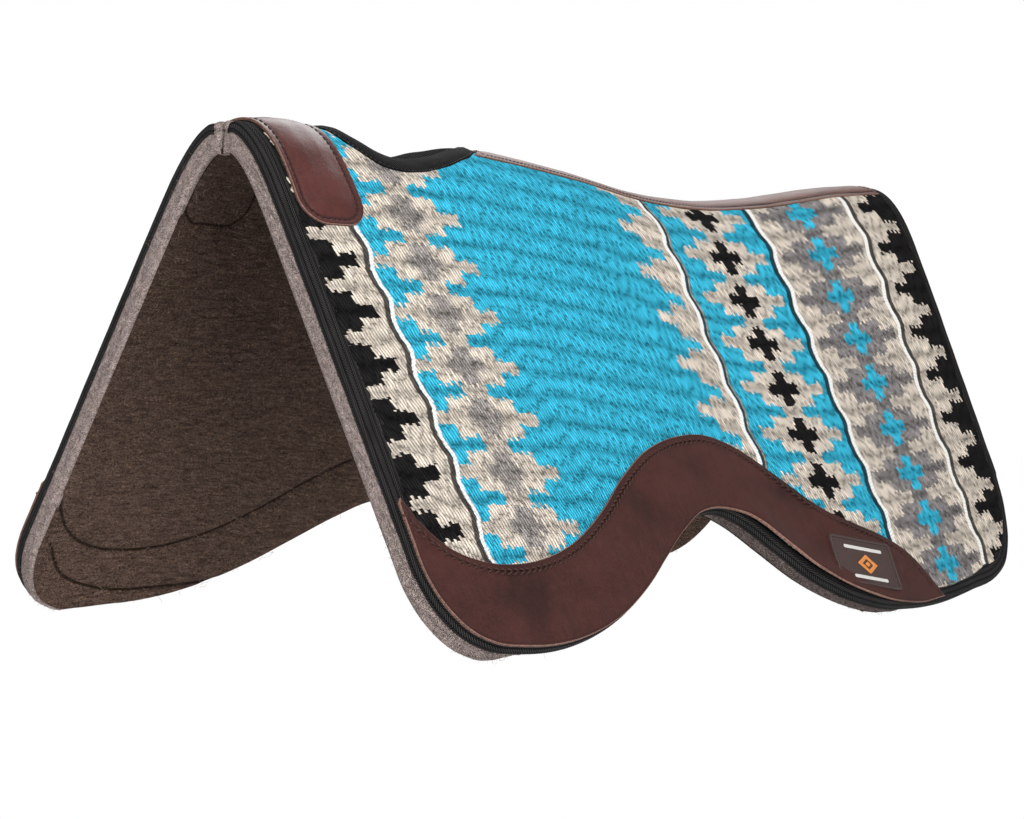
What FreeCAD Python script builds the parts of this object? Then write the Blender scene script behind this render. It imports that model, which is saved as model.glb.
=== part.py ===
# Contoured western saddle pad: two padded halves joined along the spine.
# Millimetres. +X runs from the front edge to the rear edge, +Z is up,
# the horse's left side (near side) is -Y. Z = 0 is the lowest point.
import FreeCAD, Part
import math
import os
from FreeCAD import Vector

os.makedirs("parts", exist_ok=True)

# ---- driving dimensions ----
LENGTH = 810.0            # along the spine
DROP_FRONT = 458.0        # down the panel from the spine, front lobe
DROP_REAR = 419.0         # down the panel from the spine, rear lobe
LEAN = 0.0577             # the front edge sweeps forward as it goes down
CROWN_TAU = 28.4          # how quickly the crown turns into the panel
CROWN_POWER = 1.2
TOP = 373.0               # height at which the lean is zero
LIFT = 11.2               # brings the lowest point to Z = 0
CENTRE_X = 394.9          # puts X = 0 midway between the foremost and rearmost points

FELT = (-17.5, -0.1)      # felt core at its edge, measured from its outer face
FELT_BED = -13.5          # the felt is this deep where the lining lies in it
LINING = (-17.5, -13.6)   # wool lining, set into the felt
LINING_INSET = 4.0        # rim of felt left round the lining
BLANKET = (0.0, 6.0)      # woven blanket on top of the felt
LEATHER = (6.05, 9.0)     # leather pieces on the blanket
THREAD = (9.05, 9.75)     # thread standing on the leather
THREAD_HIGH = 0.8         # thread standing on the tape
TAPE_WIDTH = 14.0         # binding tape seen on the outer face
TAPE_THICK = 1.2
TAPE_ROW = (10.9, 12.3)   # row of thread on the tape, in from the edge
GAP = 0.05                # clearance between pieces that lie on each other
FIT = 0.1                 # clearance between pieces side by side
SPLIT_TILT = 5.5          # each half is trimmed back this much below the fold line
AXIS_Z = 382.2            # fold line, level with the top of the leather

# crown height and panel angle from upright at stations along the spine
STATIONS = [
    (-45.0, 373.2, 32.1),
    (60.0, 372.5, 31.9),
    (160.0, 370.5, 31.2),
    (260.0, 364.5, 30.6),
    (360.0, 353.5, 30.5),
    (450.0, 340.5, 30.5),
    (530.0, 337.0, 30.5),
    (620.0, 344.5, 28.6),
    (720.0, 359.0, 26.2),
    (860.0, 372.0, 23.4),
]

# lower outline of a panel as (distance along, distance down), front to rear
FRONT_CORNER = [(0, 372), (0.5, 398), (8, 424), (22, 443), (42, 454), (70, DROP_FRONT)]
FRONT_LOBE = [(105, 458), (145, 451), (185, 437), (222, 417), (262, 389), (300, 362), (332, 344)]
ARCH = [(358, 339), (384, 345), (415, 363), (452, 387), (490, 405), (528, 415), (570, DROP_REAR)]
REAR_LOBE = [(700, 419), (738, 416), (768, 404), (790, 381), (803, 352), (809, 320)]

# upper edge of the wear leather, front to rear
WEAR_TOP = [(3, 341), (14, 362), (32, 381), (58, 392), (90, 395), (124, 391), (160, 379),
            (205, 353), (250, 319), (292, 293), (335, 277), (372, 271), (412, 277), (455, 299),
            (498, 328), (536, 343), (566, 355), (592, 371), (612, 392), (628, 417)]

# pear-shaped relief behind the withers, half outline from front to rear
CUT_OUT = [(100, 0), (102, 16), (110, 30), (123, 39.5), (138, 42.5), (160, 39.5), (184, 32),
           (208, 21), (228, 10), (241, 0)]
BINDING_WIDTH = 19.0
BINDING_ROW = (14.8, 16.0)
WEAR_INSET = 0.6          # the wear leather stops this far inside the edge
WEAR_ROW = 6.2            # middle of its row of thread, in from its upper edge
WEAR_ROW_HALF = 1.9       # half the width of that braided row

PATCH_X = (12.0, 77.0)    # wither patch along the spine
PATCH_DROP = 115.0
PATCH_CORNER = 24.0
PATCH_ROW = (5.0, 6.6)
STRIP_X = (238.0, 794.0)  # spine strip along the spine
STRIP_HALF = 23.0
STRIP_ROW = (3.4, 4.8)
LABEL_CENTRE = (522.0, 379.0)
LABEL_SIZE = (78.0, 42.0)
LABEL_TURN = 11.5
LABEL_BASE = 1.6
LABEL_RIM = 2.4           # height of the raised rim
LABEL_MOTIF = 2.2         # height of the raised diamond and bars
LABEL_RIM_WIDTH = 2.2


def turn(down, panel):
    """Angle from level of the section, at a distance down from the spine."""
    full = math.radians(90.0 - panel)
    return full * (1.0 - math.exp(-((max(down, 0.0) / CROWN_TAU) ** CROWN_POWER)))


def section(panel, reach=490.0, step=1.0):
    """Points (down, y, z below the crown, angle) of the felt's outer face."""
    rows = [(0.0, 0.0, 0.0, 0.0)]
    y = 0.0
    z = 0.0
    down = 0.0
    while down < reach:
        a = turn(down + step / 2.0, panel)
        y += math.cos(a) * step
        z += math.sin(a) * step
        down += step
        rows.append((down, y, z, turn(down, panel)))
    return rows


def lookup(rows, down):
    i = min(int(down), len(rows) - 2)
    f = down - i
    a, b = rows[i], rows[i + 1]
    return [a[k] + (b[k] - a[k]) * f for k in range(4)]


def between(along):
    """Crown height and panel angle at a distance along the spine."""
    for a, b in zip(STATIONS, STATIONS[1:]):
        if along <= b[0] or b is STATIONS[-1]:
            f = (along - a[0]) / (b[0] - a[0])
            return a[1] + (b[1] - a[1]) * f, a[2] + (b[2] - a[2]) * f


def place(along, y, z):
    """A point of the section plane at a station; the plane leans forward."""
    return Vector(along - LEAN * (TOP - z) - CENTRE_X, -y, z + LIFT)


def layer(depth, reach=480.0):
    """One half of a layer between two depths, from the spine down to reach."""
    low, high = depth
    downs = [0, 7, 15, 24, 34, 46, 62, 85, 120, 180, 280, 380, reach]
    wires = []
    for along, height, panel in STATIONS:
        rows = section(panel)
        outer = []
        inner = []
        for down in downs:
            d, y, z, a = lookup(rows, down)
            for depth_n, side in ((high, outer), (low, inner)):
                side.append(place(along, y + depth_n * math.sin(a), height - z + depth_n * math.cos(a)))
        top = Part.BSplineCurve()
        top.interpolate(outer)
        under = Part.BSplineCurve()
        under.interpolate(list(reversed(inner)))
        edges = [
            top.toShape(),
            Part.makeLine(outer[-1], inner[-1]),
            under.toShape(),
            Part.makeLine(inner[0], outer[0]),
        ]
        wires.append(Part.Wire(edges))
    return Part.makeLoft(wires, True, False)


# Outlines are drawn square to the panel, on a plane that faces along FACE.
FACE = Vector(0.0, -math.cos(math.radians(30.0)), math.sin(math.radians(30.0)))
DOWN = Vector(0.0, -math.sin(math.radians(30.0)), -math.cos(math.radians(30.0)))


def on_face(along, down):
    height, panel = between(along)
    d, y, z, a = lookup(section(panel), max(down, 0.0))
    point = place(along, y, height - z)
    if down < 0.0:
        point = point - DOWN * (-down)
    return point - FACE * point.dot(FACE)


def curve(points):
    spline = Part.BSplineCurve()
    spline.interpolate([on_face(a, d) for a, d in points])
    return spline.toShape()


def straight(points):
    return [Part.makeLine(on_face(*a), on_face(*b)) for a, b in zip(points, points[1:])]


def prism(edges, reach=(-60.0, 700.0)):
    wire = Part.Wire(Part.__sortEdges__(edges))
    face = Part.Face(wire)
    face.translate(FACE * reach[0])
    return face.extrude(FACE * (reach[1] - reach[0]))


def inset(points, amount):
    """Points moved to the inside of the panel, square to the line they follow."""
    moved = []
    for i, (a, d) in enumerate(points):
        p = points[max(i - 1, 0)]
        q = points[min(i + 1, len(points) - 1)]
        run = math.hypot(q[0] - p[0], q[1] - p[1])
        moved.append((a + (q[1] - p[1]) / run * amount, d - (q[0] - p[0]) / run * amount))
    return moved


LOWER = FRONT_CORNER + FRONT_LOBE + ARCH + REAR_LOBE


def panel_prism(amount=0.0):
    """Everything inside the panel's outline, brought in by an amount."""
    line = inset(LOWER, amount)
    first = (amount, line[0][1])
    last = (LENGTH - amount, line[-1][1])
    line[0] = first
    line[-1] = last
    loop = straight([last, (LENGTH - amount, 150), (LENGTH - amount, -60)])
    loop += straight([(LENGTH - amount, -60), (amount, -60)])
    loop += straight([(amount, -60), (amount, 150), first])
    return prism([curve(line)] + loop)


def crown_prism(points, low=200.0, high=500.0):
    """A prism square to the ground through a closed outline (along, half width)."""
    pts = []
    for along, down in points:
        height, panel = between(along)
        d, y, z, a = lookup(section(panel), down)
        point = place(along, y, height - z)
        pts.append(Vector(point.x, point.y, low))
    spline = Part.BSplineCurve()
    spline.interpolate(pts)
    corner_a = Vector(pts[0].x, 30, low)
    corner_b = Vector(pts[-1].x, 30, low)
    sides = [
        Part.makeLine(pts[-1], corner_b),
        Part.makeLine(corner_b, corner_a),
        Part.makeLine(corner_a, pts[0]),
    ]
    return Part.Face(Part.Wire([spline.toShape()] + sides)).extrude(Vector(0, 0, high - low))


def cut_out(amount):
    """The relief opening, made wider by an amount."""
    points = []
    for i, (a, d) in enumerate(CUT_OUT):
        if i == 0:
            points.append((a - amount, 0.0))
        elif i == len(CUT_OUT) - 1:
            points.append((a + amount, 0.0))
        else:
            p, q = CUT_OUT[i - 1], CUT_OUT[i + 1]
            run = math.hypot(q[0] - p[0], q[1] - p[1])
            points.append((a - (q[1] - p[1]) / run * amount, d + (q[0] - p[0]) / run * amount))
    return crown_prism(points)


def half_space(tilt):
    """The near side of the fold plane, trimmed back below the fold line."""
    block = Part.makeBox(1200, 700, 700, Vector(-600, -700, AXIS_Z + LIFT - 600))
    block.rotate(Vector(0, 0, AXIS_Z + LIFT), Vector(1, 0, 0), -tilt)
    return block


def mirror(shape):
    return shape.mirror(Vector(0, 0, 0), Vector(0, 1, 0))


def solid_of(shape):
    solids = sorted(shape.Solids, key=lambda s: -s.Volume)
    kept = [s for s in solids if s.Volume > 1.0]
    return kept[0] if len(kept) == 1 else Part.makeCompound(kept)


def joined(shape):
    """A piece that crosses the spine: its near half and the mirror of it."""
    whole = shape.fuse(mirror(shape))
    return whole.removeSplitter()


def save(name, shape):
    shape = solid_of(shape)
    shape.exportStep("parts/" + name + ".step")
    box = shape.optimalBoundingBox(True, False)
    print("%-32s solids %d valid %s vol %9.1f cm3 x %.1f..%.1f y %.1f..%.1f z %.1f..%.1f" % (
        name, len(shape.Solids), shape.isValid(), shape.Volume / 1000.0,
        box.XMin, box.XMax, box.YMin, box.YMax, box.ZMin, box.ZMax))


def band(points, half):
    """A narrow prism along a line, for one row of thread."""
    a = curve(inset(points, half))
    b = curve(inset(points, -half))
    ends = [
        Part.makeLine(a.Vertexes[0].Point, b.Vertexes[0].Point),
        Part.makeLine(a.Vertexes[-1].Point, b.Vertexes[-1].Point),
    ]
    return prism([a, b] + ends)


near = half_space(SPLIT_TILT)
trim = panel_prism()
opening = cut_out(0.0)
soft_opening = cut_out(TAPE_THICK + FIT)
binding_zone = cut_out(BINDING_WIDTH)

# ---- one half: felt, lining, blanket ----
lining_bed = layer((FELT[0] - 2.5, FELT_BED - GAP)).common(panel_prism(LINING_INSET - 2 * FIT))
felt = layer(FELT).common(trim).cut(lining_bed).common(near).cut(soft_opening)
save("felt_core_left", felt)
save("felt_core_right", mirror(felt))

lining = layer(LINING).common(panel_prism(LINING_INSET)).common(near).cut(soft_opening)
save("wool_lining_left", lining)
save("wool_lining_right", mirror(lining))

under_tape = BLANKET[1] - TAPE_THICK
blanket_low = layer((BLANKET[0], under_tape - FIT)).common(panel_prism(TAPE_THICK + FIT))
blanket_top = layer((under_tape - FIT - GAP, BLANKET[1])).common(panel_prism(TAPE_WIDTH + 2 * FIT))
blanket = blanket_low.fuse(blanket_top).common(near).cut(soft_opening)
save("blanket_left", blanket)
save("blanket_right", mirror(blanket))

# ---- binding tape round the outer edge of the blanket ----
tape = layer((BLANKET[0] + GAP, BLANKET[1])).common(trim).cut(panel_prism(TAPE_WIDTH))
tape = tape.cut(layer((BLANKET[0] - 3.0, under_tape)).common(panel_prism(TAPE_THICK)))
tape = tape.common(near)
save("edge_tape_left", tape)
save("edge_tape_right", mirror(tape))

# ---- wear leather round the lower edge ----
upper = curve(WEAR_TOP)
lower_line = [(WEAR_TOP[0][0], WEAR_TOP[0][1]), (-30, 360), (-30, 500), (640, 500), WEAR_TOP[-1]]
wear_zone = prism([upper] + straight(lower_line))
wear = layer(LEATHER).common(panel_prism(WEAR_INSET)).common(wear_zone)
save("wear_leather_left", wear)
save("wear_leather_right", mirror(wear))

wear_thread = layer(THREAD).common(band(inset(WEAR_TOP[1:-1], -WEAR_ROW), WEAR_ROW_HALF))
save("wear_leather_stitching_left", wear_thread)
save("wear_leather_stitching_right", mirror(wear_thread))

# ---- thread along the binding tape, where the leather leaves it open ----
thread_ring = panel_prism(TAPE_ROW[0]).cut(panel_prism(TAPE_ROW[1]))
above_wear = inset(WEAR_TOP, 5.0)
clear_line = [above_wear[0], (-30, 360), (-30, 500), (640, 500), above_wear[-1]]
wear_clear = prism([curve(above_wear)] + straight(clear_line))
below_crown = Part.makeBox(1200, 400, 600, Vector(-600, -432, -50))
thread_layer = layer((BLANKET[1] + GAP, BLANKET[1] + GAP + THREAD_HIGH))
runs = thread_ring.cut(wear_clear).Solids
tape_thread = Part.makeCompound([thread_layer.common(run).common(below_crown) for run in runs])
save("edge_tape_stitching_left", tape_thread)
save("edge_tape_stitching_right", mirror(tape_thread))

# ---- wither patch over the front of the spine ----


def patch_outline(amount):
    x0, x1, d = PATCH_X[0] + amount, PATCH_X[1] - amount, PATCH_DROP - amount
    r = PATCH_CORNER
    q = (r - amount) * (1.0 - math.cos(math.radians(45.0)))
    corner_a = [(x0, d - r + amount), (x0 + q, d - q), (x0 + r - amount, d)]
    corner_b = [(x1 - r + amount, d), (x1 - q, d - q), (x1, d - r + amount)]
    loop = straight([(x0, -60), (x0, 40), corner_a[0]])
    loop += [curve(corner_a)] + straight([corner_a[-1], corner_b[0]]) + [curve(corner_b)]
    loop += straight([corner_b[-1], (x1, 40), (x1, -60), (x0, -60)])
    return prism(loop)


patch = joined(layer(LEATHER).common(patch_outline(0.0)))
save("wither_patch", patch)
patch_thread = layer(THREAD).common(patch_outline(PATCH_ROW[0])).cut(patch_outline(PATCH_ROW[1]))
save("wither_patch_stitching", joined(patch_thread))

# ---- binding round the wither relief ----
channel = layer((LINING[0] - TAPE_THICK - GAP, LEATHER[0] + TAPE_THICK)).common(binding_zone)
held_edge = layer((LINING[0] - GAP, LEATHER[0])).cut(cut_out(TAPE_THICK))
save("cutout_binding", joined(channel.cut(opening).cut(held_edge)))
row_low = LEATHER[0] + TAPE_THICK + GAP
binding_thread = layer((row_low, row_low + THREAD_HIGH)).common(cut_out(BINDING_ROW[1]))
binding_thread = binding_thread.cut(cut_out(BINDING_ROW[0]))
save("cutout_binding_stitching", joined(binding_thread))

# ---- leather strip along the spine ----


def strip_outline(amount):
    x0, x1, w = STRIP_X[0] + amount, STRIP_X[1] - amount, STRIP_HALF - amount
    loop = straight([(x0, -60), (x0, w), (360, w), (460, w), (560, w), (680, w), (x1, w), (x1, -60)])
    loop += straight([(x1, -60), (x0, -60)])
    return prism(loop)


strip = layer(LEATHER).common(strip_outline(0.0)).cut(cut_out(BINDING_WIDTH + 3 * FIT))
save("spine_strip", joined(strip))
strip_thread = layer(THREAD).common(strip_outline(STRIP_ROW[0])).cut(strip_outline(STRIP_ROW[1]))
strip_thread = strip_thread.cut(cut_out(BINDING_WIDTH + STRIP_ROW[0]))
save("spine_strip_stitching", joined(strip_thread))

# ---- moulded label: raised rim, a plain diamond ring and two bars ----


def label_prism(points):
    """A prism through a closed outline drawn from the label's centre, turned with it."""
    c, s = math.cos(math.radians(LABEL_TURN)), math.sin(math.radians(LABEL_TURN))
    pts = [(LABEL_CENTRE[0] + p * c - q * s, LABEL_CENTRE[1] + p * s + q * c) for p, q in points]
    return prism(straight(pts + pts[:1]))


def box(width, height, low=0.0):
    w, h = width / 2.0, height / 2.0
    return label_prism([(-w, low - h), (w, low - h), (w, low + h), (-w, low + h)])


def diamond(width, height, low):
    return label_prism([(-width, low), (0, low - height), (width, low), (0, low + height)])


def raised(height, shape):
    return layer((LEATHER[1] + LABEL_BASE - FIT, LEATHER[1] + height)).common(shape)


width, height = LABEL_SIZE
label = layer((LEATHER[1] + GAP, LEATHER[1] + LABEL_BASE)).common(box(width, height))
inner = box(width - 2 * LABEL_RIM_WIDTH, height - 2 * LABEL_RIM_WIDTH)
label = label.fuse(raised(LABEL_RIM, box(width, height)).cut(inner))
label = label.fuse(raised(LABEL_MOTIF, diamond(13.0, 9.0, 2.0)).cut(diamond(7.0, 5.0, 2.0)))
label = label.fuse(raised(LABEL_MOTIF, box(50.0, 3.2, -12.2)))
label = label.fuse(raised(LABEL_MOTIF, box(44.0, 3.2, 15.0)))
save("label_patch", label)
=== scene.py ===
"""Looks for a contoured western saddle pad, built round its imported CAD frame.

Shapes are laid out on the pad itself: `along` runs from the front edge to the rear edge, `across`
runs down from the spine (negative on the near, left side), and `out` stands out from the felt's
outer face. All three are in millimetres; pad_point() turns them into metres in the row frame.
"""
import math

import bpy
import numpy as np
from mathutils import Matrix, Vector
from mathutils.geometry import delaunay_2d_cdt
from mathutils.kdtree import KDTree


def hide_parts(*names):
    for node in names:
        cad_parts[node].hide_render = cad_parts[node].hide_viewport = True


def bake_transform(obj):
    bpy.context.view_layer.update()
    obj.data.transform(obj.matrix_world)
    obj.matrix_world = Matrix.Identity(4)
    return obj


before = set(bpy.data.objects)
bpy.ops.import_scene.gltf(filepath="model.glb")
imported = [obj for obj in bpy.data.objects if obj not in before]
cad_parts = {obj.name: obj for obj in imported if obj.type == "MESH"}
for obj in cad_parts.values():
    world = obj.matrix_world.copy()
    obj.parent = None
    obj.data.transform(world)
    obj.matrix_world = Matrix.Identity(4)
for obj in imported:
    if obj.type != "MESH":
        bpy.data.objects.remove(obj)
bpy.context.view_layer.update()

# ---------------------------------------------------------------- driving dimensions, millimetres
LENGTH = 810.0                         # along the spine
LEAN = 0.0577                          # the front edge sweeps forward as it goes down
CROWN_REACH = 28.4                     # how quickly the crown turns into the panel
CROWN_POWER = 1.2
TOP = 373.0                            # height at which the lean is zero
LIFT = 11.2                            # brings the lowest point to Z = 0
CENTRE = 394.9                         # puts X = 0 midway between the front and the rear
# distance along the spine, crown height, and panel angle from upright
STATIONS = np.array([
    (-45.0, 373.2, 32.1), (60.0, 372.5, 31.9), (160.0, 370.5, 31.2), (260.0, 364.5, 30.6),
    (360.0, 353.5, 30.5), (450.0, 340.5, 30.5), (530.0, 337.0, 30.5), (620.0, 344.5, 28.6),
    (720.0, 359.0, 26.2), (860.0, 372.0, 23.4),
])
# lower outline of a panel, upper edge of the wear leather and half of the wither relief,
# as (along, down) from front to rear
LOWER = [
    (0, 372), (0.5, 398), (8, 424), (22, 443), (42, 454), (70, 458),
    (105, 458), (145, 451), (185, 437), (222, 417), (262, 389), (300, 362), (332, 344),
    (358, 339), (384, 345), (415, 363), (452, 387), (490, 405), (528, 415), (570, 419),
    (700, 419), (738, 416), (768, 404), (790, 381), (803, 352), (809, 320),
]
WEAR_TOP = [
    (3, 341), (14, 362), (32, 381), (58, 392), (90, 395), (124, 391), (160, 379), (205, 353),
    (250, 319), (292, 293), (335, 277), (372, 271), (412, 277), (455, 299), (498, 328),
    (536, 343), (566, 355), (592, 371), (612, 392), (628, 417),
]
CUT_OUT = [
    (100, 0), (102, 16), (110, 30), (123, 39.5), (138, 42.5), (160, 39.5), (184, 32),
    (208, 21), (228, 10), (241, 0),
]
FELT_IN = -17.4                        # depths, out from the felt's outer face
LINING_IN = -17.6
LINING_BED = -13.7
BLANKET_OUT = 6.0
LEATHER_IN = BLANKET_OUT + 0.35
LEATHER_OUT = 9.0
TAPE_WIDTH = 16.8
TAPE_ROW = 11.6                        # rows of stitches, in from each piece's edge
WEAR_ROW = 6.2
PATCH_ROW = 5.6
STRIP_ROW = 4.1
BINDING_ROW = 13.4
PATCH = (12.0, 77.0, 115.0, 24.0)      # from, to, drop, corner radius
STRIP = (238.0, 794.0, 23.0)           # from, to, half width
NOSE_GAP = 16.4                        # between the wither relief and the strip's front end
LABEL = (522.0, 379.0, 80.0, 43.0, 10.0)   # along, down, width, height, degrees

NEAR, FAR = -1.0, 1.0
SIDES = (("left", NEAR), ("right", FAR))


# ---------------------------------------------------------------- the pad's surface
def through(xs, ys, x):
    """A smooth curve through the points, with the slope at each taken from its neighbours."""
    slope = np.gradient(ys, xs)
    i = np.clip(np.searchsorted(xs, x) - 1, 0, len(xs) - 2)
    gap = xs[i + 1] - xs[i]
    f = (x - xs[i]) / gap
    a = 2 * f**3 - 3 * f**2 + 1
    b = f**3 - 2 * f**2 + f
    c = 3 * f**2 - 2 * f**3
    d = f**3 - f**2
    return a * ys[i] + b * gap * slope[i] + c * ys[i + 1] + d * gap * slope[i + 1]


def turn(down, panel):
    """Angle from level of the section at a distance down from the spine."""
    return np.radians(90.0 - panel) * (1.0 - np.exp(-((down / CROWN_REACH) ** CROWN_POWER)))


TABLE_STEP = 0.5            # degrees of panel angle, and millimetres down
PANELS = np.arange(22.0, 34.01, TABLE_STEP)
DOWNS = np.arange(0.0, 500.1, TABLE_STEP)


def section_table():
    """Distance out and down of the section at each panel angle and distance down."""
    out, down = [], []
    for panel in PANELS:
        a = turn((DOWNS[1:] + DOWNS[:-1]) / 2, panel)
        step = DOWNS[1] - DOWNS[0]
        out.append(np.concatenate([[0.0], np.cumsum(np.cos(a) * step)]))
        down.append(np.concatenate([[0.0], np.cumsum(np.sin(a) * step)]))
    return np.array(out), np.array(down)


SECTION_Y, SECTION_Z = section_table()


def look_up(table, panel, t):
    """A section table read between its entries."""
    i = np.clip((panel - PANELS[0]) / TABLE_STEP, 0, len(PANELS) - 1.001)
    j = np.clip(t / TABLE_STEP, 0, len(DOWNS) - 1.001)
    i0, j0 = i.astype(int), j.astype(int)
    fi, fj = i - i0, j - j0
    low = table[i0, j0] * (1 - fj) + table[i0, j0 + 1] * fj
    high = table[i0 + 1, j0] * (1 - fj) + table[i0 + 1, j0 + 1] * fj
    return low * (1 - fi) + high * fi


def pad_point(along, across, out):
    """Points in the row frame, in metres."""
    along, across, out = np.broadcast_arrays(*[np.asarray(v, float) for v in (along, across, out)])
    t = np.abs(across)
    height = through(STATIONS[:, 0], STATIONS[:, 1], along)
    panel = through(STATIONS[:, 0], STATIONS[:, 2], along)
    a = turn(t, panel)
    y = look_up(SECTION_Y, panel, t) + out * np.sin(a)
    z = height - look_up(SECTION_Z, panel, t) + out * np.cos(a)
    x = along - LEAN * (TOP - z) - CENTRE
    side = np.where(across < 0, -1.0, 1.0)
    return np.stack([x, side * y, z + LIFT], -1) * 0.001


# ---------------------------------------------------------------- outlines in (along, across)
def lengths(p):
    """Distance along a polyline at each of its points."""
    return np.concatenate([[0], np.cumsum(np.hypot(*np.diff(p, axis=0).T))])


def at_lengths(q, chord, p):
    """The points of a polyline at the distances q along it."""
    return np.stack([np.interp(q, chord, p[:, k]) for k in (0, 1)], 1)


def curve(points, step):
    """A smooth line through the points, sampled every step."""
    p = np.array(points, float)
    chord = lengths(p)
    q = np.linspace(0, chord[-1], max(int(chord[-1] / step), 4) + 1)
    return np.stack([through(chord, p[:, 0], q), through(chord, p[:, 1], q)], 1)


def spaced(points, step):
    """The polyline sampled evenly, both ends kept."""
    p = np.array(points, float)
    chord = lengths(p)
    q = np.linspace(0, chord[-1], max(int(round(chord[-1] / step)), 1) + 1)
    return at_lengths(q, chord, p)


def normals(p, closed=False):
    """Unit normals to the left of a polyline, lengthened where it turns."""
    before = np.roll(p, 1, 0)
    after = np.roll(p, -1, 0)
    if not closed:
        before[0] = 2 * p[0] - p[1]
        after[-1] = 2 * p[-1] - p[-2]

    def left_of(d):
        d = d / (np.linalg.norm(d, axis=1)[:, None] + 1e-12)
        return np.stack([-d[:, 1], d[:, 0]], 1)

    n1, n2 = left_of(p - before), left_of(after - p)
    return (n1 + n2) / np.maximum(1 + (n1 * n2).sum(1), 0.6)[:, None]


def edge_line(inset=0.0, step=3.0, start=0.0, stop=0.0):
    """The pad's outer edge as (along, down), from the spine round the lobes to the spine."""
    low = curve(LOWER, step)
    low = low - normals(low) * inset
    low[0, 0], low[-1, 0] = inset, LENGTH - inset
    front = spaced([(inset, start), (inset, low[0, 1])], step)[:-1]
    rear = spaced([(LENGTH - inset, low[-1, 1]), (LENGTH - inset, stop)], step)[1:]
    return np.concatenate([front, low, rear])


def cut_line(wider, step=2.5):
    """Half of the wither relief as (along, down), from front to rear, made wider."""
    p = curve(CUT_OUT, step)
    n = normals(p)
    n[0], n[-1] = (-1, 0), (1, 0)
    p = p + n * wider
    p[0, 1] = p[-1, 1] = 0.0
    return p


def half_outline(inset, seam, step, wider):
    """Closed outline of one half of a layer, with the wither relief cut from its spine edge."""
    line = edge_line(inset, step, seam, seam)
    cut = cut_line(wider, step)
    cut = cut[cut[:, 1] > seam]
    to_cut = spaced([(LENGTH - inset, seam), (cut[-1, 0], seam)], step)[1:]
    to_front = spaced([(cut[0, 0], seam), (inset, seam)], step)[:-1]
    return np.concatenate([line, to_cut, cut[::-1], to_front])


def area_of(loop):
    x, y = loop[:, 0], loop[:, 1]
    return 0.5 * float(np.sum(x * np.roll(y, -1) - y * np.roll(x, -1)))


def turned_left(loop):
    """The loop, anticlockwise."""
    return loop if area_of(loop) > 0 else loop[::-1].copy()


def inward(loop):
    """Unit normals into a closed loop, whichever way round it runs."""
    n = normals(turned_left(loop), True)
    return n[::-1] if area_of(loop) < 0 else n


def ringed(line):
    """The line with its first point again at its end."""
    return np.concatenate([line, line[:1]])


def inside(loop, p):
    """Which points lie inside a closed loop."""
    found = np.zeros(len(p), bool)
    a, b = loop, np.roll(loop, -1, 0)
    for (ax, ay), (bx, by) in zip(a, b):
        if ay == by:
            continue
        crosses = (p[:, 1] >= min(ay, by)) & (p[:, 1] < max(ay, by))
        at = ax + (p[crosses, 1] - ay) * (bx - ax) / (by - ay)
        found[crosses] ^= p[crosses, 0] < at
    return found


def tree_of(points):
    """The points, sorted so that the nearest can be found."""
    tree = KDTree(len(points))
    for i, (x, y) in enumerate(points):
        tree.insert((x, y, 0.0), i)
    tree.balance()
    return tree


def from_edge(loops, p):
    """Distance of each point from the nearest loop."""
    tree = tree_of(np.concatenate([spaced(ringed(l), 0.8) for l in loops]))
    return np.array([tree.find((x, y, 0.0))[2] for x, y in p])


# ---------------------------------------------------------------- meshes
def face_out(mesh):
    """Turns a closed mesh's faces outwards."""
    mesh.calc_loop_triangles()
    corner = np.empty(len(mesh.loop_triangles) * 3, np.int32)
    mesh.loop_triangles.foreach_get("vertices", corner)
    co = np.empty(len(mesh.vertices) * 3)
    mesh.vertices.foreach_get("co", co)
    a, b, c = co.reshape(-1, 3)[corner.reshape(-1, 3)].transpose(1, 0, 2)
    if np.sum(a * np.cross(b, c)) < 0:
        mesh.flip_normals()


def new_piece(name, points, faces, lay, material, edge=None):
    """A mesh piece. lay keeps each point's (along, across, out) in metres for its material."""
    mesh = bpy.data.meshes.new(name)
    mesh.from_pydata(points.tolist(), [], [list(f) for f in faces])
    mesh.validate()
    face_out(mesh)
    at = mesh.attributes.new("lay", "FLOAT_VECTOR", "POINT")
    at.data.foreach_set("vector", (np.asarray(lay, np.float32) * 0.001).ravel())
    if edge is not None:
        near = mesh.attributes.new("rim", "FLOAT", "POINT")
        near.data.foreach_set("value", np.asarray(edge, np.float32) * 0.001)
    mesh.polygons.foreach_set("use_smooth", [True] * len(mesh.polygons))
    mesh.materials.append(material)
    obj = bpy.data.objects.new(name, mesh)
    bpy.context.scene.collection.objects.link(obj)
    return obj


def within(loops, p):
    """Which points lie inside the first loop and outside the others."""
    found = inside(loops[0], p)
    for hole in loops[1:]:
        found &= ~inside(hole, p)
    return found


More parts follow.
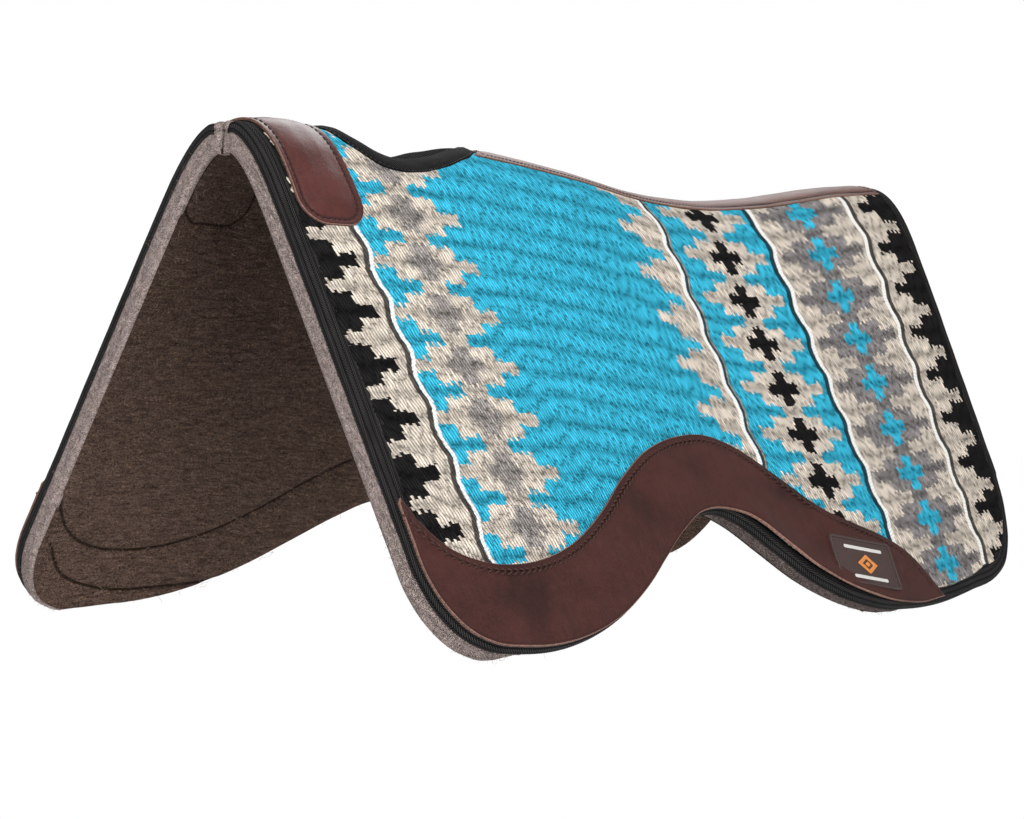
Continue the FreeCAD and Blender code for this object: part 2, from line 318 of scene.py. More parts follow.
def skin(loops, grid, rings, jitter, extra=None):
    """Points and triangles that fill the loops: their own points, rings inside them, a grid."""
    count = [len(l) for l in loops]
    edge = np.concatenate(loops)
    lo, hi = loops[0].min(0), loops[0].max(0)
    xs = np.arange(lo[0] + grid / 2, hi[0], grid)
    ys = np.arange(lo[1] + grid / 2, hi[1], grid)
    gx, gy = np.meshgrid(xs, ys)
    gx[1::2] += grid / 2
    inner = np.stack([gx.ravel(), gy.ravel()], 1)
    inner += np.random.default_rng(5).uniform(-1, 1, inner.shape) * grid * jitter
    if extra is not None:
        inner = np.concatenate([inner, extra])
    ring_points = [l + normals(l, True) * ring for ring in rings for l in loops]
    ring_points = np.concatenate(ring_points) if rings else np.zeros((0, 2))
    ring_at = np.repeat(np.array(rings, float), sum(count))
    keep = within(loops, ring_points)
    ring_points, ring_at = ring_points[keep], ring_at[keep]
    keep = np.abs(from_edge(loops, ring_points) - ring_at) < 0.25 * ring_at + 0.06
    ring_points, ring_at = ring_points[keep], ring_at[keep]
    inner = inner[within(loops, inner)]
    gap = from_edge(loops, inner)
    keep = gap > max(rings, default=0.0) + grid * 0.45
    inner, gap = inner[keep], gap[keep]
    p = np.concatenate([edge, ring_points, inner])
    d = np.concatenate([np.zeros(len(edge)), ring_at, gap])
    starts = np.cumsum([0] + count)
    polys = [list(range(a, b)) for a, b in zip(starts, starts[1:])]
    verts, _, faces, origin, _, _ = delaunay_2d_cdt([Vector(q) for q in p], [], polys, 1, 1e-5)
    if len(verts) != len(p):
        order = [o[0] for o in origin]
        p = np.array([(v.x, v.y) for v in verts])
        d = np.array([d[o] if o >= 0 else 0.0 for o in order])
        if order[:len(edge)] != list(range(len(edge))):
            raise RuntimeError("an outline crosses itself")
    tri = np.array(faces, int)
    middle = p[tri].mean(1)
    good = np.ones(len(tri), bool)
    for hole in loops[1:]:
        good &= ~inside(hole, middle)
    return p, d, tri[good], starts


GRID_JITTER = 0.12          # share of the grid by which its points stray


def rounded(d, radius):
    """How far a rounded rim lies below the face at a distance from the edge."""
    k = np.clip(radius - d, 0, radius)
    return radius - np.sqrt(np.maximum(radius**2 - k**2, 0))


def slab(name, loops, back, face, material, grid=1.5, back_grid=16.0, radius=1.0, rings=(),
         relief=None, back_relief=None, wall=2, wall_shape=None, extra=None):
    """A layer between two depths with rounded rims: fine mesh on the face, coarse on the back.

    relief and back_relief raise the face and the back outwards. Each takes (along, across,
    distance from the edge).
    """
    loops = [turned_left(loops[0])] + [turned_left(l)[::-1] for l in loops[1:]]
    bend = [radius * (1 - math.cos(math.radians(q))) for q in (35, 65, 90)]
    p1, d1, f1, starts = skin(loops, grid, sorted(bend + list(rings)), GRID_JITTER, extra)
    p2, d2, f2, _ = skin(loops, back_grid, bend, GRID_JITTER)
    way = 1.0 if face > back else -1.0
    n1 = face - way * rounded(d1, radius)
    n2 = back + way * rounded(d2, radius)
    if relief is not None:
        n1 = n1 + way * relief(p1[:, 0], p1[:, 1], d1)
    if back_relief is not None:
        n2 = n2 - way * back_relief(p2[:, 0], p2[:, 1], d2)
    m = starts[-1]
    lays = [np.column_stack([p1, n1]), np.column_stack([p2, n2])]
    rim = [d1, d2]
    side = np.concatenate([normals(l, True) for l in loops])
    for k in range(1, wall):
        f = k / wall
        q = p1[:m].copy()
        depth = n1[:m] * (1 - f) + n2[:m] * f
        if wall_shape is not None:
            q = q + side * wall_shape(q[:, 0], q[:, 1], f)[:, None]
        lays.append(np.column_stack([q, depth]))
        rim.append(np.zeros(m))
    lay = np.concatenate(lays)
    faces = [tuple(f) for f in f1.tolist()]
    base = len(p1)
    faces += [(a + base, c + base, b + base) for a, b, c in f2.tolist()]
    rows = [np.arange(m)] + [len(p1) + len(p2) + k * m + np.arange(m) for k in range(wall - 1)]
    rows.append(base + np.arange(m))
    for upper, lower in zip(rows, rows[1:]):
        for a, b in zip(starts, starts[1:]):
            for i in range(a, b):
                j = a if i + 1 == b else i + 1
                faces.append((upper[i], lower[i], lower[j], upper[j]))
    points = pad_point(lay[:, 0], lay[:, 1], lay[:, 2])
    return new_piece(name, points, faces, lay, material, np.concatenate(rim))


def sweep(name, path, section, material, closed=False, side=1.0, round_off=None):
    """A band along a path. section holds (inset, out) points, the inset to the path's right."""
    n = normals(path, closed)
    girth = [0.0]
    for a, b in zip(section, section[1:] + section[:1]):
        girth.append(girth[-1] + math.hypot(b[0] - a[0], b[1] - a[1]))
    length = lengths(ringed(path))[:-1]
    rows, lays = [], []
    for k, (inset, out) in enumerate(section):
        q = path - n * inset
        depth = np.full(len(q), out)
        if round_off is not None:
            depth = depth + round_off(length, inset)
        rows.append(pad_point(q[:, 0], q[:, 1] * side, depth))
        lays.append(np.column_stack([length, np.full(len(q), girth[k]), depth]))
    points = np.concatenate(rows)
    lay = np.concatenate(lays)
    m, k = len(path), len(section)
    faces = []
    for a in range(k):
        b = (a + 1) % k
        for i in range(m if closed else m - 1):
            j = (i + 1) % m
            quad = (a * m + i, a * m + j, b * m + j, b * m + i)
            faces.append(quad if side > 0 else quad[::-1])
    if not closed:
        first = tuple(a * m for a in range(k))
        last = tuple(a * m + m - 1 for a in range(k))
        faces.append(first if side > 0 else first[::-1])
        faces.append(last[::-1] if side > 0 else last)
    return new_piece(name, points, faces, lay, material)


def tubes(count, posts, sides):
    """Faces of closed tubes whose points run round each post, one post after another."""
    faces = []
    for base in range(0, count * posts * sides, posts * sides):
        last = base + (posts - 1) * sides
        for post in range(base, last, sides):
            for q in range(sides):
                a, b = post + q, post + (q + 1) % sides
                faces.append((a, a + sides, b + sides, b))
        faces.append(tuple(range(base, base + sides)))
        faces.append(tuple(reversed(range(last, last + sides))))
    return faces


def stitches(name, path, out, pitch, length, thick, material, skew=0.0, sag=0.7, start=0.5):
    """A row of separate stitches: short plump threads that dip into the work at both ends."""
    sides = 6
    chord = lengths(path)
    count = int(chord[-1] / pitch)
    at = (np.arange(count) + start) * chord[-1] / count
    centre = at_lengths(at, chord, path)
    d = at_lengths(at + 0.5, chord, path) - at_lengths(at - 0.5, chord, path)
    d /= np.linalg.norm(d, axis=1)[:, None]
    c, s = math.cos(skew), math.sin(skew)
    d = np.stack([d[:, 0] * c - d[:, 1] * s, d[:, 0] * s + d[:, 1] * c], 1)
    n = np.stack([-d[:, 1], d[:, 0]], 1)
    lays = []
    posts = [(-0.5, 0.25), (-0.4, 0.8), (-0.15, 1.0), (0.15, 1.0), (0.4, 0.8), (0.5, 0.25)]
    for k in range(count):
        for f, fat in posts:
            lift = -sag * thick * (2 * abs(f)) ** 3
            for q in range(sides):
                a = 2 * math.pi * q / sides
                o = fat * thick / 2
                xy = centre[k] + d[k] * f * length + n[k] * o * math.cos(a)
                lays.append((xy[0], xy[1], out + lift + o * math.sin(a)))
    lay = np.array(lays)
    faces = tubes(count, len(posts), sides)
    return new_piece(name, pad_point(*lay.T), faces, lay, material)


# ---------------------------------------------------------------- materials
class Field:
    """A number that varies over a surface, kept as a socket of a node tree."""

    def __init__(self, tree, out):
        self.tree = tree
        self.out = out

    def math(self, kind, *others):
        node = self.tree.nodes.new("ShaderNodeMath")
        node.operation = kind
        for socket, value in zip(node.inputs, (self,) + others):
            put(self.tree, socket, value)
        return Field(self.tree, node.outputs[0])

    def __rsub__(self, other):
        return (self * -1.0) + other

    def hump(self):
        """Rises from nothing to one and falls back within each unit."""
        return (self.part() * math.pi).sin()

    def near(self, centre, period):
        """Distance from the nearest of the evenly spaced centres."""
        return (((self - centre) / period + 0.5).part() - 0.5).size() * period

    def ramp(self, low, high):
        """Nothing below low, one above high, smooth between."""
        node = self.tree.nodes.new("ShaderNodeMapRange")
        node.interpolation_type = "SMOOTHSTEP"
        put(self.tree, node.inputs[0], self)
        put(self.tree, node.inputs[1], low)
        put(self.tree, node.inputs[2], high)
        return Field(self.tree, node.outputs[0])


# over and under give one where this is larger or smaller than the other, else nothing
for word, kind in (
    ("__add__", "ADD"), ("__sub__", "SUBTRACT"), ("__mul__", "MULTIPLY"), ("__truediv__", "DIVIDE"),
    ("over", "GREATER_THAN"), ("under", "LESS_THAN"), ("floor", "FLOOR"), ("part", "FRACT"),
    ("size", "ABSOLUTE"), ("sin", "SINE"), ("power", "POWER"), ("most", "MAXIMUM"),
):
    setattr(Field, word, lambda self, *others, kind=kind: self.math(kind, *others))


def put(tree, socket, value):
    """Sets a socket, or links it to a field."""
    if isinstance(value, Field):
        tree.links.new(value.out, socket)
    else:
        socket.default_value = value


def fill(node, **values):
    """Sets a node's inputs by name, an underscore standing for a space."""
    for name, value in values.items():
        node.inputs[name.replace("_", " ")].default_value = value


class Look:
    """A material under construction. Lengths on its fields are millimetres.

    A mirrored one is the same on both halves of the pad.
    """

    def __init__(self, name, mirrored=False):
        self.material = bpy.data.materials.new(name)
        self.material.use_nodes = True
        self.tree = self.material.node_tree
        self.shader = self.tree.nodes["Principled BSDF"]
        at = self.tree.nodes.new("ShaderNodeAttribute")
        at.attribute_name = "lay"
        split = self.tree.nodes.new("ShaderNodeSeparateXYZ")
        self.tree.links.new(at.outputs["Vector"], split.inputs[0])
        self.s, self.u, self.n = [Field(self.tree, o) * 1000.0 for o in split.outputs]
        self.t = self.u.size()
        self.down = self.t if mirrored else self.u
        self.colour = None

    def node(self, kind, out, feature=None, **inputs):
        """One output of a new node whose inputs are set, or linked to fields."""
        node = self.tree.nodes.new("ShaderNode" + kind)
        if feature:
            node.feature = feature
        for name, value in inputs.items():
            put(self.tree, node.inputs[name], value)
        return Field(self.tree, node.outputs[out])

    def rim(self):
        """Distance from the piece's edge."""
        at = self.tree.nodes.new("ShaderNodeAttribute")
        at.attribute_name = "rim"
        return Field(self.tree, at.outputs["Fac"]) * 1000.0

    def point(self, x, y, z):
        return self.node("CombineXYZ", 0, X=x, Y=y, Z=z)

    def noise(self, x, y, z=0.0, detail=3.0, rough=0.5, twist=0.0):
        """Soft noise between 0 and 1, one unit across."""
        return self.node("TexNoise", "Fac", Vector=self.point(x, y, z), Scale=1.0, Detail=detail,
                         Roughness=rough, Distortion=twist)

    def mottle(self, long, high, *more):
        """Soft noise over the piece in spots of about this size."""
        return self.noise(self.s / long, self.down / high, *more)

    def dice(self, x, y=0.0, z=0.0):
        """A value from 0 to 1 picked for each point."""
        return self.node("TexWhiteNoise", "Value", Vector=self.point(x, y, z))

    def cells(self, x, y, z=0.0, feature="F1"):
        """Distance from the middle of the nearest of many scattered cells."""
        return self.node("TexVoronoi", "Distance", feature, Vector=self.point(x, y, z), Scale=1.0)

    def mix(self, factor, a, b):
        node = self.tree.nodes.new("ShaderNodeMix")
        node.data_type = "RGBA"
        put(self.tree, node.inputs[0], factor)
        for socket, value in ((node.inputs[6], a), (node.inputs[7], b)):
            if isinstance(value, tuple):
                socket.default_value = (*value, 1.0)
            else:
                put(self.tree, socket, value)
        return Field(self.tree, node.outputs[2])

    def scaled(self, colour, factor):
        """A colour made darker or lighter."""
        node = self.tree.nodes.new("ShaderNodeVectorMath")
        node.operation = "SCALE"
        put(self.tree, node.inputs[0], colour)
        put(self.tree, node.inputs["Scale"], factor)
        return Field(self.tree, node.outputs[0])

    def shade(self, factor):
        """Makes the look's own colour darker or lighter."""
        self.colour = self.scaled(self.colour, factor)

    def paint(self, mask, paint):
        """Lays another colour over the look's own, as far as the mask says."""
        self.colour = self.mix(mask, self.colour, paint)

    def finish(self, height, reach, roughness, **sockets):
        """Sets the shader. height is in millimetres."""
        put(self.tree, self.shader.inputs["Base Color"], self.colour)
        put(self.tree, self.shader.inputs["Roughness"], roughness)
        fill(self.shader, **sockets)
        bump = self.node("Bump", 0, Strength=reach, Distance=0.001, Height=height)
        put(self.tree, self.shader.inputs["Normal"], bump)
        return self.material


ROW = 11.125                # one woven row, down the pad
RIB_AT = 20.1               # top of a rib, two rows wide
REPEAT = 4 * ROW
FLOAT = 1.30 * ROW          # length of yarn seen between two crossings
COLUMN = 3.1                # one yarn, along the pad
SLANT = 0.36                # the yarns lean back as they go down
COMB = 1.1                  # how far every other yarn reaches past its neighbours

TEAL = (0.030, 0.315, 0.455)
CREAM = (0.460, 0.405, 0.345)
GREY = (0.235, 0.220, 0.215)
GREY_DARK = (0.115, 0.103, 0.104)
BLACK = (0.0085, 0.0080, 0.0085)
WHITE = (0.84, 0.825, 0.80)


def row_drift(s):
    """How far the woven rows climb towards the spine, for numbers and for fields."""
    rear, front = s - 120.0, 100.0 - s
    if isinstance(s, Field):
        rear, front = rear.most(0.0), front.most(0.0)
    else:
        rear, front = np.maximum(rear, 0), np.maximum(front, 0)
    rear, front = rear / 660.0, front / 100.0
    return rear * rear * -7.8 - front * 4.3


LOW_TIPS, HIGH_TIPS = 9.0, 31.2     # where down the pad the motifs' widest rows lie
DIAMOND = (56.0, 35.0, 13.0)        # half widths: at the tip, a row from it, and elsewhere
CROSS = (20.0, 7.0, -1.0)


def woven_look():
    """Wool yarns that run down the pad in rows, in a stepped pattern of diamonds and crosses."""
    k = Look("woven_wool", mirrored=True)
    sway = k.mottle(60.0, 60.0, 3.0, 2.0)
    s = k.s + (k.mottle(11.0, 8.0, 7.0, 3.0) - 0.5) * 3.2 - k.t * SLANT
    column = (s / COLUMN).floor()
    odd = (column * 0.5).part() * 2.0
    luck = k.dice(column, 0.5)
    down = k.t + row_drift(k.s) + (sway - 0.5) * 4.0
    down = down + (k.mottle(14.0, 14.0, 1.0, 2.0) - 0.5) * 2.6
    comb = down + (odd - 0.5) * (2 * COMB) + (luck - 0.5) * 3.2
    at = (column + 0.5) * COLUMN + k.t * SLANT
    fibre = k.noise(s / 0.55, k.t / 4.0, 9.0, 3.0, 0.65, 0.4)
    fuzz = k.mottle(1.2, 1.7, 5.0, 4.0, 0.7, 1.0)
    heather = k.mix(fuzz.ramp(0.40, 0.60), GREY_DARK, GREY)

    def stepped(tip_at, tip, step, neck):
        """Half width of a motif whose widest row lies at tip_at."""
        far = comb.near(tip_at, REPEAT)
        return far.under(1.5 * ROW) * (step - neck) + far.under(0.5 * ROW) * (tip - step) + neck

    def line(where, tip_at, lean=0.0):
        wave = ((k.t + row_drift(k.s) - tip_at) * (2 * math.pi / REPEAT)).sin() * 2.5
        return (wave * -1.0) + where - k.t * lean

    line_a = line(59.5, LOW_TIPS, -0.022)
    line_b = line(441.0, 20.0)
    line_c = line(585.0, HIGH_TIPS)
    line_d = line(729.0, HIGH_TIPS)

    k.colour = k.mix(at.over(line_a), BLACK, TEAL)
    # the front border, and a row of blurred diamonds behind it
    front = at.under(line_a)
    k.paint(front * at.over(stepped(HIGH_TIPS, 12.0, 31.0, 50.0)), CREAM)
    middle = (at - 120.0).size()
    k.paint(at.over(line_a) * middle.under(stepped(LOW_TIPS, *DIAMOND)), CREAM)
    blur = (k.mottle(3.0, 6.0, 4.0, 3.0) - 0.5) * 9.0
    cross = ((middle + blur) * -1.0 + stepped(LOW_TIPS, 18.0, 10.0, -9.0)).ramp(-4.0, 4.0)
    k.paint(cross * 0.85, heather)
    # half diamonds, whole ones with dark crosses, dark ones with teal crosses, the rear border
    half = (439.0 - at).under(stepped(20.1, *DIAMOND)) * at.under(line_b)
    k.paint(half * at.over(250.0), CREAM)
    band = at.over(line_b) * at.under(line_c)
    middle = (at - 516.0).size()
    k.paint(band * middle.under(stepped(HIGH_TIPS, *DIAMOND)), CREAM)
    k.paint(band * middle.under(stepped(HIGH_TIPS, *CROSS)), BLACK)
    band = at.over(line_c) * at.under(line_d)
    middle = (at - 658.0).size()
    k.paint(band, CREAM)
    k.paint(band * middle.under(stepped(HIGH_TIPS, 61.0, 40.0, 13.0)), heather)
    k.paint(band * middle.under(stepped(HIGH_TIPS, *CROSS)), TEAL)
    k.paint(at.over(line_d), CREAM)
    rear = at.over(line_d) * at.over(stepped(HIGH_TIPS, 746.0, 768.0, 791.0))
    k.paint(rear, BLACK)

    lie = (down + k.dice(column, 7.5) * (FLOAT * 6.0)) / FLOAT
    row = lie.floor()
    round_yarn = (s / COLUMN).hump().power(0.62)
    float_yarn = lie.hump().power(0.42)
    rib = ((down - RIB_AT) / (2 * ROW) + 0.5).hump().power(0.7)
    patchy = k.mottle(16.0, 9.0, 15.0, 3.0, 0.6)
    yarn_tone = k.dice(column, row, 2.0)
    matted = k.mottle(3.4, 3.4, 41.0, 3.0, 0.6).ramp(0.38, 0.64)
    # the yarns' humps and the ribs scale the colour: painted highlight on the yarns' crests,
    # painted shade in the gaps between yarns and in the troughs between ribs
    gaps = round_yarn * float_yarn
    shade = (gaps * (matted * -0.42 + 1.30) + matted * 0.42 + 0.10) * (rib * 0.46 + 0.64)
    shade = shade * (yarn_tone * 0.30 + 0.88) * (fibre * 1.5 + 0.28) * (fuzz * 1.3 + 0.40)
    shade = shade * (patchy * 0.5 + 0.78)

    fray = (k.mottle(1.6, 5.0, 2.0, 3.0) - 0.5) * 1.8
    fray = fray + (k.mottle(30.0, 6.0, 33.0, 2.0) - 0.5) * 3.0
    cord = k.s * 0.0
    k.shade(shade)
    # each line is a pale cord beside a dark one: where, the pale one's side, and how wide each is
    for where, pale_side, wide, narrow in (
        (line_a, 1.0, 4.0, 5.6), (line_b, -1.0, 4.8, 6.4), (line_c, 1.0, 5.2, 6.4),
        (line_d, -1.0, 5.2, 6.2),
    ):
        gap = (k.s + fray - where) * pale_side
        pale = gap.ramp(-0.7, 0.3) * gap.ramp(wide + 0.7, wide - 0.7)
        dark = gap.ramp(0.3, -0.7) * gap.ramp(-narrow - 0.7, -narrow + 0.7)
        knots = (k.t / 3.1 + gap * 0.12).hump()
        k.paint(pale * 0.92, k.scaled(WHITE, knots * 0.30 + 0.80))
        k.paint(dark * 0.90, (0.012, 0.011, 0.011))
        cord = cord + (pale + dark * 0.5)
    gap = k.s + fray * 0.5 - line_b
    k.paint(gap.over(3.7) * gap.under(6.0) * 0.8, k.scaled(CREAM, shade * 0.7))
    fleck = k.mottle(1.1, 2.6, 12.0, 2.0).over(0.79)
    k.colour = k.mix(fleck * 0.5, k.colour, (0.50, 0.52, 0.50))
    height = gaps * 1.1 + fibre * 0.35 + fuzz * 0.9 + cord * 0.5 + rib * 0.5
    return k.finish(height, 1.0, roughness=0.92, Specular_IOR_Level=0.04)


def felt_look():
    """Needled wool felt seen at its cut edge: grey, brown and pale fibres matted together."""
    k = Look("felt_edge", mirrored=True)
    clump = k.mottle(6.0, 6.0, k.n / 4.0, 3.0, 0.6)
    fibre = k.mottle(1.9, 1.9, k.n / 1.2, 4.0, 0.75, 1.8)
    fine = k.mottle(0.8, 0.8, k.n / 0.6, 3.0, 0.7, 2.2)
    k.colour = k.mix(fibre.ramp(0.42, 0.58), (0.078, 0.058, 0.053), (0.47, 0.375, 0.350))
    k.paint(fine.ramp(0.53, 0.64) * 0.8, (0.78, 0.66, 0.62))
    k.paint(fine.ramp(0.47, 0.37) * 0.85, (0.035, 0.024, 0.022))
    speck = k.cells(k.s / 6.5, k.t / 6.5, k.n / 6.5).ramp(0.15, 0.06)
    k.paint(speck * 0.5, (0.42, 0.27, 0.15))
    # the felt's edge under and behind the arch is darkened: painted shade
    behind = k.s.ramp(335.0, 372.0) * k.s.ramp(690.0, 600.0) * k.t.ramp(318.0, 336.0)
    k.shade((clump * 1.3 + 0.44) * (behind * -0.55 + 1.0))
    height = fibre * 2.0 + fine * 1.0 + clump * 1.4
    return k.finish(height, 1.0, roughness=0.95, Specular_IOR_Level=0.04)


def lining_look():
    """Dark brown wool lining with matted fibres in faint rows along the pad."""
    k = Look("lining_wool", mirrored=True)
    row = k.mottle(15.0, 2.7, 1.0, 3.0, 0.6, 0.8)
    clump = k.mottle(4.2, 2.6, 5.0, 4.0, 0.72, 1.6)
    fibre = k.mottle(1.9, 1.2, 2.0, 4.0, 0.75, 2.4)
    loose = k.mottle(2.6, 1.5, 8.0, 3.0, 0.65, 4.0)
    k.colour = k.mix(fibre.ramp(0.41, 0.59), (0.0055, 0.0034, 0.0028), (0.165, 0.104, 0.080))
    k.paint(loose.ramp(0.55, 0.64) * 0.75, (0.34, 0.25, 0.205))
    speck = k.cells(k.s / 8.0, k.t / 8.0, 4.0).ramp(0.14, 0.06)
    k.paint(speck * 0.6, (0.34, 0.18, 0.075))
    # darker where the surface lies above its face, in the pressed grooves, at the rims and on the
    # walls: painted shade
    pressed = k.n.ramp(-16.5, -17.4)
    # lighter towards the lower edge: painted light from below, with painted shade up at the crown
    painted_light_below = k.t.ramp(90.0, 430.0)
    k.shade(row * clump * (pressed * 1.6 + 0.8) * (painted_light_below * 0.62 + 0.98))
    height = row * 2.4 + clump * 2.2 + fibre * 0.9 + loose * 0.9
    return k.finish(height, 1.0, roughness=0.96, Specular_IOR_Level=0.03)


def tinted(colour, factor):
    return tuple(c * factor for c in colour)


def leather_look(name, base, pale, gloss):
    """Smooth oiled leather with a fine grain, a few scuffs and a raw cut edge."""
    k = Look(name)
    cloud = k.mottle(52.0, 34.0, 2.0, 5.0, 0.62)
    warm = k.mottle(30.0, 50.0, 22.0, 4.0, 0.6)
    pores = k.cells(k.s / 1.15, k.u / 1.15, 0.0, "SMOOTH_F1")
    crease = k.mottle(3.2, 2.6, 5.0, 5.0, 0.68, 1.2)
    streak = k.mottle(5.0, 30.0, 18.0, 4.0, 0.7, 0.6)
    scuff = k.mottle(8.0, 26.0, 8.0, 5.0, 0.75, 1.2).ramp(0.60, 0.78)
    redder = (base[0] * 1.5, base[1] * 1.05, base[2] * 0.95)
    k.colour = k.mix(cloud.ramp(0.30, 0.70), tinted(base, 0.74), tinted(base, 1.26))
    k.paint(warm.ramp(0.40, 0.75) * 0.45, redder)
    k.paint(crease.ramp(0.38, 0.64) * 0.45, tinted(base, 1.55))
    k.paint(streak.ramp(0.52, 0.30) * 0.28, tinted(base, 0.50))
    k.paint(scuff * 0.16, pale)
    dot = k.mottle(1.7, 1.7, 15.0, 2.0).over(0.78)
    k.paint(dot * 0.45, pale)
    edge = k.rim()
    raw = edge.ramp(0.85, 0.40)
    grain = k.mottle(0.9, 0.9, k.n / 2.2, 3.0, 0.7)
    k.paint(edge.ramp(3.4, 0.9) * 0.55, tinted(base, 0.45))
    cut = k.mix(grain.ramp(0.3, 0.7), (0.085, 0.040, 0.030), (0.33, 0.180, 0.138))
    k.paint(raw, cut)
    # darker where the surface sinks below its face, in the stitch grooves, at the rounded rims and
    # on the walls: painted shade
    k.shade(k.n.ramp(8.25, 8.9) * 0.45 + 0.55)
    rough = crease * 0.22 + raw * 0.35 + scuff * 0.1 + cloud * 0.12 + gloss
    height = pores * 0.14 + crease * 0.22 + cloud * 0.8 + grain * raw * 0.6 + streak * 0.12
    return k.finish(height, 0.8, roughness=rough, Specular_IOR_Level=0.32)


def twill_look(name, ridge, width, dark, light, coarse):
    """A woven tape in herringbone. Its lay runs along its length and round its section."""
    k = Look(name)
    stripe = (k.u / width).floor()
    flip = (stripe * 0.5).part() * 4.0 - 1.0
    wobble = (k.mottle(9.0, 3.0, 1.0, 2.0) - 0.5) * 0.9
    round_rib = ((k.s + k.u * flip * 1.15 + wobble) / ridge).hump().power(0.7)
    joint_line = (k.u / width).hump().power(0.3)
    lint = k.mottle(0.5, 0.5, 3.0, 3.0, 0.7, 1.0)
    wear = k.mottle(30.0, 9.0, 6.0, 3.0, 0.6)
    # the ribs' crests take the light colour and the hollows between them the dark one: painted
    # highlight and shade
    k.colour = k.mix((round_rib * joint_line).ramp(0.35, 0.95), dark, light)
    k.paint(lint.ramp(0.60, 0.76) * 0.6, tinted(light, 2.6))
    k.shade(wear * 1.2 + 0.4)
    height = round_rib * joint_line * coarse + lint * 0.25
    return k.finish(height, 0.9, roughness=0.75, Specular_IOR_Level=0.05)


def thread_look(name, dark, light):
    """Waxed plied thread."""
    k = Look(name)
    ply = ((k.s * 2.1 + k.u * 2.1 + k.n * 1.2).sin() * 0.5 + 0.5)
    lint = k.mottle(0.6, 0.6, k.n / 0.6, 2.0, 0.6)
    # lighter on the plies' crests and darker between them: painted highlight and shade
    k.colour = k.mix(ply * 0.6 + lint * 0.4, dark, light)
    return k.finish(ply * 0.22 + lint * 0.1, 0.8, roughness=0.55, Specular_IOR_Level=0.2)


def rubber_look(name, low, high, rough):
    """Moulded rubber with a fine matt skin."""
    k = Look(name)
    cloud = k.mottle(14.0, 14.0, 2.0, 3.0)
    skin_grain = k.mottle(0.35, 0.35, k.n / 0.35, 3.0, 0.6)
    k.colour = k.mix(cloud * 0.6 + skin_grain * 0.4, low, high)
    return k.finish(skin_grain * 0.10 + cloud * 0.1, 0.7,
                    roughness=skin_grain * 0.15 + rough, Specular_IOR_Level=0.4)


WOVEN = woven_look()
FELT_WOOL = felt_look()
LINING_WOOL = lining_look()
WEAR_HIDE = leather_look("wear_hide", (0.041, 0.0125, 0.0100), (0.19, 0.12, 0.10), 0.26)
PATCH_HIDE = leather_look("patch_hide", (0.058, 0.0170, 0.0145), (0.26, 0.16, 0.14), 0.20)
STRIP_HIDE = leather_look("strip_hide", (0.090, 0.034, 0.024), (0.26, 0.15, 0.11), 0.28)
TAPE = twill_look("edge_tape", 2.3, 4.6, (0.0024, 0.0023, 0.0023), (0.038, 0.036, 0.036), 1.4)
BINDING = twill_look("binding_tape", 2.6, 60.0, (0.0024, 0.0023, 0.0023),
                     (0.039, 0.0375, 0.0375), 1.5)
LINING_HAIR = thread_look("lining_hair", (0.050, 0.034, 0.028), (0.42, 0.31, 0.26))
TAPE_THREAD = thread_look("tape_thread", (0.012, 0.011, 0.011), (0.045, 0.043, 0.042))
HIDE_THREAD = thread_look("leather_thread", (0.012, 0.0048, 0.0040), (0.066, 0.026, 0.021))
PATCH_THREAD = thread_look("patch_thread", (0.012, 0.006, 0.0055), (0.052, 0.024, 0.021))
RUBBER = rubber_look("label_rubber", (0.040, 0.024, 0.021), (0.060, 0.038, 0.034), 0.42)
RUBBER_ORANGE = rubber_look("label_orange", (0.50, 0.16, 0.035), (0.66, 0.25, 0.06), 0.40)
RUBBER_PALE = rubber_look("label_pale", (0.48, 0.46, 0.43), (0.62, 0.60, 0.57), 0.42)


# ---------------------------------------------------------------- helpers for the pieces
def soft_noise(seed, scale):
    """Smooth noise between about -1 and 1 over the pad, for numbers."""
    rng = np.random.default_rng(seed)
    waves = rng.normal(0, 1.0, (14, 2)) / scale
    phase = rng.uniform(0, 2 * math.pi, 14)

    def value(s, u):
        total = np.zeros_like(np.asarray(s, float))
        for (a, b), p in zip(waves, phase):
            total = total + np.sin(s * a * 2 + u * b * 2 + p)
        return total / 3.7

    return value


def smooth(x, low, high):
    f = np.clip((x - low) / (high - low), 0, 1)
    return f * f * (3 - 2 * f)


def bell(gap, width):
    """One where there is no gap, next to nothing two widths away."""
    return np.exp(-((gap / width) ** 2))


def from_line(points):
    """A function giving each point's distance from a line in (along, down)."""
    tree = tree_of(spaced(points, 1.0))

    def distance(s, u):
        return np.array([tree.find((a, abs(b), 0.0))[2] for a, b in zip(s, u)])

    return distance


def sided(loop, side):
    return loop * np.array([1.0, side])


def bends(obj, node):
    """A piece with its placement baked in, which stands for its CAD node and hides it."""
    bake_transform(obj)
    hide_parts(node)
    return obj


def cloth(obj, outline, held, *below):
    """Hands the piece back as it is. Its outline, the size it was cut to in (along, down), is not
    used.
    """
    return obj


WEAR_LINE = curve(WEAR_TOP, 3.0)
PAD_EDGE = from_line(edge_line(0.0, 2.0))


def rounded_box(s0, s1, u0, u1, radius, step=3.0):
    """Closed outline of a rectangle with round corners."""
    corners = [(s1 - radius, u1 - radius, 0), (s0 + radius, u1 - radius, 90),
               (s0 + radius, u0 + radius, 180), (s1 - radius, u0 + radius, 270)]
    count = max(int(radius * 1.6 / step), 4) + 1
    p = np.array([(cx + radius * math.cos(a), cy + radius * math.sin(a))
                  for cx, cy, a0 in corners for a in np.radians(np.linspace(a0, a0 + 90, count))])
    return spaced(ringed(p), step)[:-1]


def merged(name, objs):
    """One object out of several."""
    with bpy.context.temp_override(active_object=objs[0], selected_editable_objects=objs):
        bpy.ops.object.join()
    objs[0].name = name
    return objs[0]


def ridge(u):
    """The two halves meet inside the crown in a sharper angle than outside it."""
    return 3.6 * np.clip(1 - np.abs(u) / 15.0, 0, 1)


